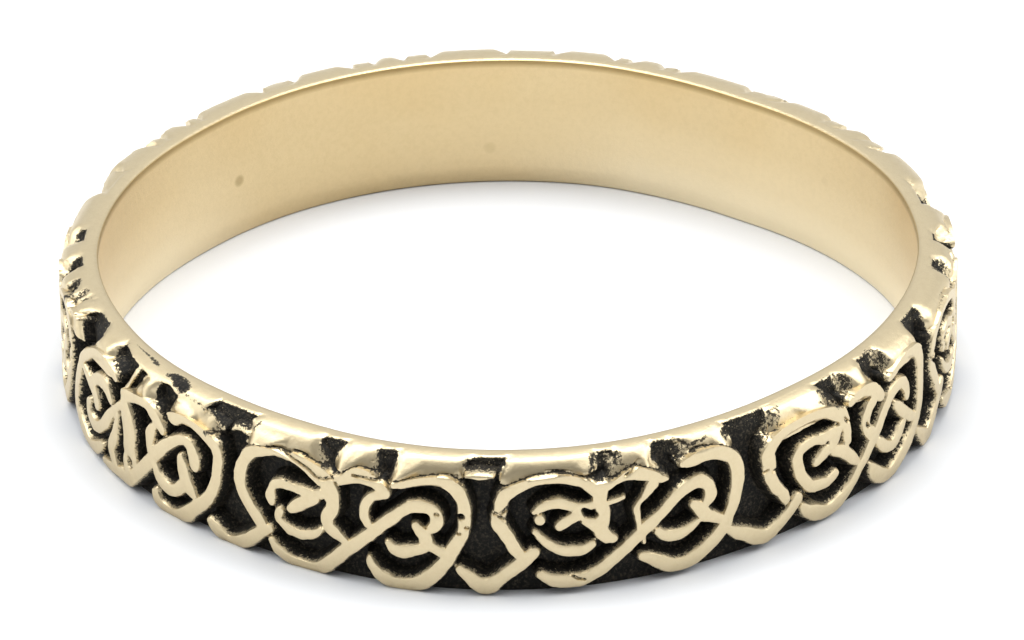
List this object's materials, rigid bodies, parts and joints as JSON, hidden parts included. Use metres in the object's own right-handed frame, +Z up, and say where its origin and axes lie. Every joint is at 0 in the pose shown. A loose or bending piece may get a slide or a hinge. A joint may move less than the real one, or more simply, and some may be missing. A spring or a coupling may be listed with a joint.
{
  "type": "knotwork finger ring",
  "caption": "Cast finger ring whose band carries raised spiral knotwork over a sunk dark ground, with a notched upper shoulder and a smooth plain bore.",
  "frame": {"origin": "on the bore's axis, in the plane of the lower rim that the ring lies on", "axes": "+Z up along the bore, -Y towards the viewer of the picture, +X to the viewer's right"},
  "size_m": [0.0192, 0.0192, 0.003],
  "materials": {
    "gold": "pale yellow gold, satin on the strand faces and in the bore, polished on the notched shoulder, darkened to near black in the sunk ground"
  },
  "bodies": {
    "root": {"knot_band": "gold"}
  },
  "joints": []
}
